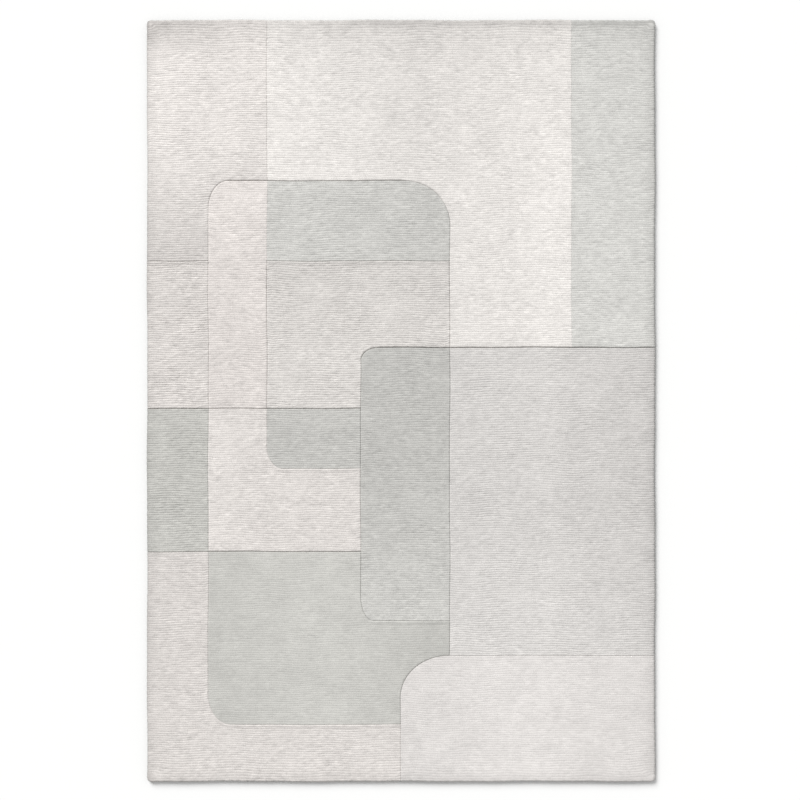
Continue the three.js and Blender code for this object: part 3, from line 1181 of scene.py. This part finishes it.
@dataclass
class Pile:
    """All the pile: fifteen fields on one set of rows, each with its yarn and its corners."""

    column_round: Point = (45.0, 64.0)
    bar_round: Point = (106.0, 106.0)
    panel_top_round: Point = (42.0, 30.0)
    panel_foot_round: Point = (30.0, 57.0)
    dark_round: Point = (40.0, 55.0)
    lower_round: Point = (52.0, 75.0)
    foot_round: Point = (113.0, 104.0)
    edge_round: Point = (8.0, 8.0)

    def build(self) -> None:
        """Builds every field."""
        lines = PatternLines.from_frame()
        rows = Rows(lines)
        LOG.info("%d rows of tufts", rows.count)
        for fields in (self._head_fields, self._side_fields, self._foot_fields):
            for name, yarn, corners in fields(lines):
                PileField(f"pile_{name}", yarn, corners, rows).build()

    def _head_fields(self, p: PatternLines) -> list[Field]:
        """The fields above the bar's foot."""
        return [
            ("top_left",
             PileYarn("pile_ivory", (226, 221, 217), (1.02, 1.0, 0.99), (0.80, 1.015, 1.02),
                      relief=0.9), [
                Corner(p.left, p.bar_foot, Cut.SLIT),
                Corner(p.column_left, p.bar_foot, Cut.SCORE),
                Corner(p.column_left, p.band_foot, Cut.BEVEL, self.column_round, Cut.SLIT),
                Corner(p.column_right, p.band_foot, Cut.SCORE),
                Corner(p.column_right, p.head, Cut.RIM),
                Corner(p.left, p.head, Cut.RIM, self.edge_round, Cut.RIM)]),
            ("top_centre",
             PileYarn("pile_ivory", (227, 223, 219), (1.06, 0.935, 1.035), (1.0, 1.01, 0.955),
                      relief=0.55), [
                Corner(p.column_right, p.band_foot, Cut.BEVEL),
                Corner(p.panel_right, p.band_foot, Cut.SLIT, self.bar_round, Cut.SLIT),
                Corner(p.panel_right, p.panel_top, Cut.DEEP),
                Corner(p.right_column, p.panel_top, Cut.JOIN),
                Corner(p.right_column, p.head, Cut.RIM),
                Corner(p.column_right, p.head, Cut.FLUSH)]),
            ("top_right",
             PileYarn("pile_pearl", (209, 208, 204), (1.0, 1.0, 0.97), (1.0, 1.0, 0.98),
                      relief=0.5), [
                Corner(p.right_column, p.panel_top, Cut.DEEP),
                Corner(p.right, p.panel_top, Cut.RIM),
                Corner(p.right, p.head, Cut.RIM, self.edge_round, Cut.RIM),
                Corner(p.right_column, p.head, Cut.JOIN)]),
            ("left_column",
             PileYarn("pile_rose_ivory", (224, 218, 214), along=(0.925, 0.945, 1.02),
                      relief=0.65), [
                Corner(p.column_left, p.dark_top, Cut.SLIT),
                Corner(p.column_right, p.dark_top, Cut.VEE),
                Corner(p.column_right, p.bar_foot, Cut.JOIN),
                Corner(p.column_right, p.band_foot, Cut.SLIT),
                Corner(p.column_left, p.band_foot, Cut.SCORE, self.column_round, Cut.SCORE)]),
            ("upper_bar",
             PileYarn("pile_silver", (204, 203, 199), (1.0, 0.965, 0.915), relief=0.75), [
                Corner(p.column_right, p.bar_foot, Cut.SLIT),
                Corner(p.panel_right, p.bar_foot, Cut.SCORE),
                Corner(p.panel_right, p.band_foot, Cut.SLIT, self.bar_round, Cut.SCORE),
                Corner(p.column_right, p.band_foot, Cut.JOIN)]),
        ]

    def _side_fields(self, p: PatternLines) -> list[Field]:
        """The fields between the bar's foot and the lower block."""
        return [
            ("left_upper",
             PileYarn("pile_rose_ivory", (216, 211, 207), mottle=0.6, relief=1.3), [
                Corner(p.left, p.dark_top, Cut.BEVEL),
                Corner(p.column_left, p.dark_top, Cut.SCORE),
                Corner(p.column_left, p.bar_foot, Cut.LIP),
                Corner(p.left, p.bar_foot, Cut.RIM)]),
            ("inner_step",
             PileYarn("pile_rose_ivory", (218, 214, 210), along=(0.97, 0.965, 0.91),
                      mottle=0.5, relief=1.05), [
                Corner(p.column_right, p.dark_top, Cut.BEVEL),
                Corner(p.panel_left, p.dark_top, Cut.SLIT),
                Corner(p.panel_left, p.panel_top, Cut.DEEP, self.panel_top_round, Cut.BEVEL),
                Corner(p.panel_right, p.panel_top, Cut.SLIT),
                Corner(p.panel_right, p.bar_foot, Cut.LIP),
                Corner(p.column_right, p.bar_foot, Cut.SCORE)]),
            ("left_middle",
             PileYarn("pile_grey", (194, 193, 188), mottle=0.5, relief=1.1), [
                Corner(p.left, p.lower_block, Cut.SCORE),
                Corner(p.column_left, p.lower_block, Cut.SCORE),
                Corner(p.column_left, p.dark_top, Cut.SLIT),
                Corner(p.left, p.dark_top, Cut.RIM)]),
            ("centre_left",
             PileYarn("pile_rose_ivory", (222, 217, 213), (0.98, 0.95, 0.93), relief=0.65), [
                Corner(p.column_left, p.lower_block, Cut.BEVEL),
                Corner(p.panel_left, p.lower_block, Cut.SLIT),
                Corner(p.panel_left, p.dark_foot, Cut.LIP),
                Corner(p.column_right, p.dark_foot, Cut.SCORE, self.dark_round, Cut.LIP),
                Corner(p.column_right, p.dark_top, Cut.SLIT),
                Corner(p.column_left, p.dark_top, Cut.SCORE)]),
            ("dark_block",
             PileYarn("pile_grey", (192, 191, 187), relief=0.7), [
                Corner(p.column_right, p.dark_foot, Cut.FLUSH, self.dark_round, Cut.FLUSH),
                Corner(p.panel_left, p.dark_foot, Cut.SLIT),
                Corner(p.panel_left, p.dark_top, Cut.SLIT),
                Corner(p.column_right, p.dark_top, Cut.FLUSH)]),
            ("tall_panel",
             PileYarn("pile_grey", (196, 195, 191), along=(1.06, 0.94, 0.915), relief=0.6), [
                Corner(p.panel_left, p.panel_foot, Cut.SCORE, self.panel_foot_round, Cut.SCORE),
                Corner(p.panel_right, p.panel_foot, Cut.SLIT),
                Corner(p.panel_right, p.panel_top, Cut.SLIT),
                Corner(p.panel_left, p.panel_top, Cut.SCORE, self.panel_top_round, Cut.SCORE)]),
            ("right_side",
             PileYarn("pile_pearl", (213, 210, 207), (0.97, 0.985, 0.9), (1.045, 0.965, 0.995),
                      0.45,
                      relief=0.78), [
                Corner(p.panel_right, p.foot_block_top, Cut.SCORE),
                Corner(p.right, p.foot_block_top, Cut.RIM),
                Corner(p.right, p.panel_top, Cut.SLIT),
                Corner(p.panel_right, p.panel_top, Cut.SCORE)]),
        ]

    def _foot_fields(self, p: PatternLines) -> list[Field]:
        """The fields at the foot of the rug."""
        smooth = {"mottle": 0.34, "brush": 0.16, "relief": 0.28, "fleck": 0.3}
        return [
            ("lower_block",
             PileYarn("pile_silver", (201, 200, 195), (0.925, 0.995, 0.87), **smooth), [
                Corner(p.column_left, p.foot_band, Cut.FLUSH, self.lower_round, Cut.FLUSH),
                Corner(p.foot_block, p.foot_band, Cut.SLIT),
                Corner(p.foot_block, p.foot_block_top, Cut.SCORE, self.foot_round, Cut.SLIT),
                Corner(p.panel_right, p.foot_block_top, Cut.SLIT),
                Corner(p.panel_right, p.panel_foot, Cut.LIP),
                Corner(p.panel_left, p.panel_foot, Cut.SLIT, self.panel_foot_round, Cut.SLIT),
                Corner(p.panel_left, p.lower_block, Cut.SLIT),
                Corner(p.column_left, p.lower_block, Cut.SCORE)]),
            ("bottom_right",
             PileYarn("pile_ivory", (224, 220, 217), (0.91, 0.99, 0.91), **smooth), [
                Corner(p.foot_block, p.foot, Cut.RIM),
                Corner(p.right, p.foot, Cut.RIM, self.edge_round, Cut.RIM),
                Corner(p.right, p.foot_block_top, Cut.FLUSH),
                Corner(p.foot_block, p.foot_block_top, Cut.FLUSH, self.foot_round, Cut.FLUSH)]),
            ("bottom_left",
             PileYarn("pile_rose_ivory", (219, 214, 210), (0.98, 1.0, 1.0), (0.98, 0.95, 0.94),
                      relief=0.7), [
                Corner(p.left, p.foot, Cut.RIM, self.edge_round, Cut.RIM),
                Corner(p.foot_block, p.foot, Cut.SCORE),
                Corner(p.foot_block, p.foot_band, Cut.LIP),
                Corner(p.column_left, p.foot_band, Cut.SCORE, self.lower_round, Cut.LIP),
                Corner(p.column_left, p.lower_block, Cut.SLIT),
                Corner(p.left, p.lower_block, Cut.RIM)]),
        ]


# ---------------------------------------------------------------------------------------------
# The edge and the underside


class Side(Enum):
    """The rug's four sides, each with its turn from the foot, in degrees."""

    FOOT = 0
    RIGHT = 90
    HEAD = 180
    LEFT = 270

    @property
    def label(self) -> str:
        """The side's name, as the frame's nodes have it."""
        return self.name.lower()


@dataclass
class EdgeBar:
    """A long piece that runs along one side of the rug and meets the next sides at a mitre."""

    side: Side
    corner: float = 8.0

    def __post_init__(self) -> None:
        """Works out the side's half length and how far it lies from the rug's middle."""
        self.along_x = self.side in (Side.FOOT, Side.HEAD)
        sizes = (HALF_WIDTH, HALF_LENGTH) if self.along_x else (HALF_LENGTH, HALF_WIDTH)
        self.half_length, self.distance = sizes

    def span(self, box: tuple[Vector, Vector]) -> float:
        """How wide a node's box is across the side."""
        size = box[1] - box[0]
        return size.y if self.along_x else size.x

    def inset(self, box: tuple[Vector, Vector]) -> float:
        """How far the middle of a node's box lies in from the rug's edge."""
        middle = (box[0] + box[1]) / 2
        return self.distance - abs(middle.y if self.along_x else middle.x)

    def place(self, bm: bmesh.types.BMesh) -> None:
        """Lays a bar made at the foot, with its edge at Y 0, along its own side.

        Args:
            bm: its mesh, with X from -1 to 1 from mitre to mitre and Y inwards from the edge.
        """
        for vert in bm.verts:
            vert.co.x *= self.half_length - vert.co.y
        bmesh.ops.translate(bm, verts=bm.verts, vec=(0, -self.distance, 0))
        turn = Matrix.Rotation(math.radians(self.side.value), 3, "Z")
        bmesh.ops.rotate(bm, cent=(0, 0, 0), matrix=turn, verts=bm.verts)
        for vert in bm.verts:
            self._round_corner(vert)

    def _round_corner(self, vert: bmesh.types.BMVert) -> None:
        """Draws a vertex in a corner of the rug in, so that the square corner turns round."""
        dx = abs(vert.co.x) - (HALF_WIDTH - self.corner)
        dy = abs(vert.co.y) - (HALF_LENGTH - self.corner)
        if dx <= 0 or dy <= 0:
            return
        share = 1 - max(dx, dy) / math.hypot(dx, dy)
        vert.co.x -= math.copysign(dx * share, vert.co.x)
        vert.co.y -= math.copysign(dy * share, vert.co.y)


@dataclass
class EdgeWhipping(EdgeBar):
    """Yarn wound closely round the cloth's edge, one rib for each turn."""

    turn_pitch: float = 2.9
    inside: float = 2.7
    leg: float = 1.0
    over: float = 5.4
    top_leg: float = 1.4
    rounding: float = 2.0
    rib: float = 0.32
    lean: float = 0.9

    def build(self, yarn: WoundYarn) -> None:
        """Builds and dresses the whipping."""
        node = f"edge_whipping_{self.side.label}"
        box = box_mm(node)
        top = box[1].z
        section = self._section(top, self.span(box))
        turns = round(2 * self.half_length / self.turn_pitch)
        steps = 2 * turns
        bm = bmesh.new()
        bmesh.ops.create_grid(bm, x_segments=steps, y_segments=len(section), size=1.0)
        for vert in bm.verts:
            place = round((vert.co.y + 1) / 2 * len(section)) % len(section)
            vert.co.yz = section[place]
        bmesh.ops.remove_doubles(bm, verts=bm.verts, dist=1e-5)
        bmesh.ops.holes_fill(bm, edges=[edge for edge in bm.edges if edge.is_boundary], sides=0)
        self._wind(bm, steps, top)
        self.place(bm)
        piece = make_piece(f"{node}_yarn", bm)
        settle(piece, yarn.material(piece.name), yarn.slot, node)

    def _section(self, top: float, under: float) -> list[Point]:
        """The whipping's section: a C round the cloth's edge, with its outer corners rounded.

        Args:
            top: its height.
            under: how far it reaches in under the cloth.

        Returns:
            The section's points in order, each as a distance in from the edge and a height.
        """
        bm = bmesh.new()
        points = [
            (under, 0), (0, 0), (0, top), (self.over, top), (self.over, top - self.top_leg),
            (self.inside, top - self.top_leg), (self.inside, self.leg), (under, self.leg),
        ]
        corners = [bm.verts.new((0, y, z)) for y, z in points]
        bm.faces.new(corners)
        bmesh.ops.bevel(bm, geom=corners[1:3], affect="VERTICES", offset=self.rounding, segments=4,
                        profile=0.5, material=-1)
        bm.faces.ensure_lookup_table()
        section = [tuple(vert.co.yz) for vert in bm.faces[0].verts]
        bm.free()
        return section

    def _wind(self, bm: bmesh.types.BMesh, steps: int, top: float) -> None:
        """Draws every second ring in towards the middle of the yarn, and leans the turns."""
        rng = np.random.default_rng(self.side.value + 5)
        size = rng.uniform(0.6, 1.25, steps + 1)
        step = 2 / steps
        for vert in bm.verts:
            ring = round((vert.co.x + 1) / step)
            y, z = vert.co.y, vert.co.z
            core_z = self.leg / 2 if z < top / 2 else top - self.top_leg / 2
            core_y = max(y, self.inside / 2)
            if y <= self.inside + 0.01:
                core_z = min(max(z, self.leg / 2), top - self.top_leg / 2)
            draw = self.rib * size[ring] * (ring % 2)
            pull = Vector((core_y - y, core_z - z))
            if pull.length > 1e-6:
                pull = pull.normalized() * min(draw, pull.length * 0.8)
            vert.co.y += pull.x
            vert.co.z += pull.y
            if 0 < ring < steps:
                vert.co.x += (z / top - 0.5) * self.lean * step


@dataclass
class BindingTape(EdgeBar):
    """Cotton tape sewn flat over the hem on the underside, creased where the thread pulls."""

    step: float = 9.0
    row_gap: float = 5.0
    seam_gaps: Point = (0.8, 1.8)
    crease: float = 0.45
    thread_reach: float = 1.1
    ease: float = 0.10
    ripple: float = 0.25
    slack: float = 0.5

    def build(self, cloth: WovenCloth) -> None:
        node = f"binding_tape_{self.side.label}"
        box = box_mm(node)
        width = self.span(box)
        outer = self.inset(box) - width / 2
        seam = self.inset(box_mm(f"tape_seam_{self.side.label}"))
        levels = spaced([outer, seam, outer + width], self.row_gap, self.seam_gaps)
        steps = round(2 * self.half_length / self.step)
        bm = lay_grid(np.linspace(-1, 1, steps + 1), levels)
        for vert in bm.verts:
            along, inset = vert.co.x * self.half_length, vert.co.y
            ripple = math.sin(along / 21) * self.ripple if inset > levels[-2] + self.slack else 0
            pull = math.exp(-(((inset - seam) / self.thread_reach) ** 2)) * self.crease
            puff = self.ease * (1 + math.sin(along / 13 + inset / 9))
            vert.co.y = inset - abs(ripple)
            vert.co.z = pull + puff * (1 - pull)
        bmesh.ops.solidify(bm, geom=bm.faces[:], thickness=self.slack - box[1].z)
        self.place(bm)
        piece = make_piece(f"{node}_woven", bm)
        settle(piece, cloth.material(piece.name, self.along_x), cloth.slot, node)
        middle = 2 * (self.half_length - outer - width / 2)
        longest = 2 * (self.half_length - outer)
        longest * MM
        width * middle * MM * MM


@dataclass
class TapeSeam(EdgeBar):
    """Straight stitches of thread along the tape's inner edge."""

    pitch: float = 6.0
    length: float = 4.6
    thickness: float = 0.8

    def build(self, thread: WoundYarn) -> None:
        """Builds and dresses the row of stitches."""
        node = f"tape_seam_{self.side.label}"
        inset = self.inset(box_mm(node))
        run = self.half_length - inset
        count = round(2 * run / self.pitch)
        size = Matrix.Diagonal((self.length / 2 / run, self.thickness / 2, self.thickness / 2, 1))
        spot = Matrix.Translation((1 / count - 1, inset, self.thickness / 2))
        bm = bmesh.new()
        bmesh.ops.create_uvsphere(bm, u_segments=8, v_segments=5, radius=1.0, matrix=spot @ size)
        repeat_along(bm, count, 2 / count)
        self.place(bm)
        piece = make_piece(f"{node}_stitches", bm)
        settle(piece, thread.material(piece.name), thread.slot, node)


@dataclass
class BackingCanvas:
    """Canvas glued under the rug, a little puckered, with its rim stepped up over the tape."""

    step: float = 11.0
    thickness: float = 0.8
    step_width: float = 2.0
    pucker: float = 0.16

    def build(self, cloth: WovenCloth) -> None:
        low, high = box_mm("backing_canvas")
        tape = box_mm("binding_tape_right")[0].x, box_mm("binding_tape_head")[0].y
        columns = spaced([-high.x, -tape[0], tape[0], high.x], self.step, (self.step_width,))
        levels = spaced([-high.y, -tape[1], tape[1], high.y], self.step, (self.step_width,))
        rise = high.z - self.thickness - low.z
        bm = lay_grid(columns, levels)
        for vert in bm.verts:
            x, y = vert.co.xy
            clear = min(tape[0] - abs(x), tape[1] - abs(y))
            climb = min(max(1 - clear / self.step_width, 0), 1)
            wave = meander(x, y, 37, 2, 61) + meander(y, x, 29, 2, 83)
            vert.co.z = rise * climb + self.pucker * (1 + wave / 2) * (1 - climb)
        bmesh.ops.solidify(bm, geom=bm.faces[:], thickness=-self.thickness)
        piece = make_piece("backing_canvas_woven", bm)
        settle(piece, cloth.material(piece.name), cloth.slot, "backing_canvas")


@dataclass
class Underside:
    """All that lies under and round the pile."""

    canvas: WovenCloth = WovenCloth("canvas", (203, 191, 164), Weave.PLAIN, 1.3)
    tape: WovenCloth = WovenCloth("cotton_tape", (216, 207, 186), Weave.TWILL, 0.9)
    cloth: WovenCloth = WovenCloth("tufting_cloth", (222, 218, 208), Weave.PLAIN, 1.1)
    gauze: WovenCloth = WovenCloth("gauze", (232, 230, 223), Weave.LENO, 2.4)
    latex: DriedLatex = DriedLatex("latex", (230, 220, 192))
    whipping: WoundYarn = WoundYarn("whipping_yarn", (154, 154, 149), 0.9)
    thread: WoundYarn = WoundYarn("sewing_thread", (185, 173, 146), 0.5)

    def build(self) -> None:
        """Builds the new pieces and dresses the frame's own."""
        BackingCanvas().build(self.canvas)
        for side in Side:
            BindingTape(side).build(self.tape)
            TapeSeam(side).build(self.thread)
            EdgeWhipping(side).build(self.whipping)
        self._dress("tufting_cloth", self.cloth.material("tufting_cloth_weave"))
        self._dress("backing_gauze", self.gauze.material("backing_gauze_weave"))
        self._dress("latex_layer", self.latex.material("latex_layer_film"))

    def _dress(self, node: str, material: bpy.types.Material) -> None:
        """Gives one of the frame's own pieces its material."""
        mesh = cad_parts[node].data
        mesh.materials.clear()
        mesh.materials.append(material)
        LOG.info("%s: dressed", node)


# ---------------------------------------------------------------------------------------------
# The studio


@dataclass
class Studio:
    """A pale floor, soft light from the upper left, and a camera straight above."""

    floor_size: float = 9.0
    floor_drop: float = 0.4
    dome: float = 0.66
    sun: float = 3.5
    sun_spread: float = 36.0
    sun_way: Colour = (0.55, -0.95, -0.9)
    floor_shade: Colour = (0.735, 0.735, 0.73)
    lens: float = 100.0
    sensor: float = 36.0
    frame_width: float = 1893.5
    aim: Point = (-1.3, 2.5)

    def build(self, rug_top: float) -> None:
        """Makes the floor, the light and the camera.

        Args:
            rug_top: the height of the pile, in millimetres.
        """
        self._floor()
        self._light()
        self._camera(rug_top)

    def _floor(self) -> None:
        """Lays a plain white floor just under the rug."""
        bm = bmesh.new()
        bmesh.ops.create_grid(bm, x_segments=2, y_segments=2, size=self.floor_size / 2 / MM)
        bmesh.ops.translate(bm, verts=bm.verts, vec=(0, 0, -self.floor_drop))
        floor = make_piece("studio_floor", bm, smooth=False)
        s = Shader("studio_floor")
        x, y, _ = s.place()
        grain = s.noise(x / 300.0, y / 300.0, 0.0, 1.0)
        s.finish(self.floor_shade, 0.8, s.bump(grain, 0.02 * MM), Specular_IOR_Level=0.1)
        floor.data.materials.append(s.material)

    def _light(self) -> None:
        """Lights the rug with an even dome and one broad lamp."""
        scene = bpy.context.scene
        world = bpy.data.worlds.new("studio")
        scene.world = world
        world.use_nodes = True
        backdrop = world.node_tree.nodes["Background"]
        backdrop.inputs["Color"].default_value = (1.0, 1.0, 1.0, 1.0)
        backdrop.inputs["Strength"].default_value = self.dome
        lamp = bpy.data.lights.new("north_west_lamp", "SUN")
        lamp.energy = self.sun
        lamp.angle = math.radians(self.sun_spread)
        holder = bpy.data.objects.new("north_west_lamp", lamp)
        holder.rotation_mode = "QUATERNION"
        holder.rotation_quaternion = Vector(self.sun_way).to_track_quat("-Z", "Y")
        scene.collection.objects.link(holder)
        scene.view_settings.view_transform = "Standard"

    def _camera(self, rug_top: float) -> None:
        """Hangs the camera over the rug, looking straight down."""
        data = bpy.data.cameras.new("overhead")
        data.lens = self.lens
        data.sensor_width = self.sensor
        camera = bpy.data.objects.new("overhead", data)
        height = self.frame_width * self.lens / self.sensor + rug_top
        camera.location = (self.aim[0] * MM, self.aim[1] * MM, height * MM)
        data.clip_end = 4 * height * MM
        bpy.context.scene.collection.objects.link(camera)
        bpy.context.scene.camera = camera


def main() -> None:
    """Builds the rug from the floor up and dresses it."""
    logging.basicConfig(level=logging.INFO, format="%(message)s")
    Studio().build(CAD_BOX[1].z / MM)
    Underside().build()
    Pile().build()


if __name__ == "__main__":
    main()
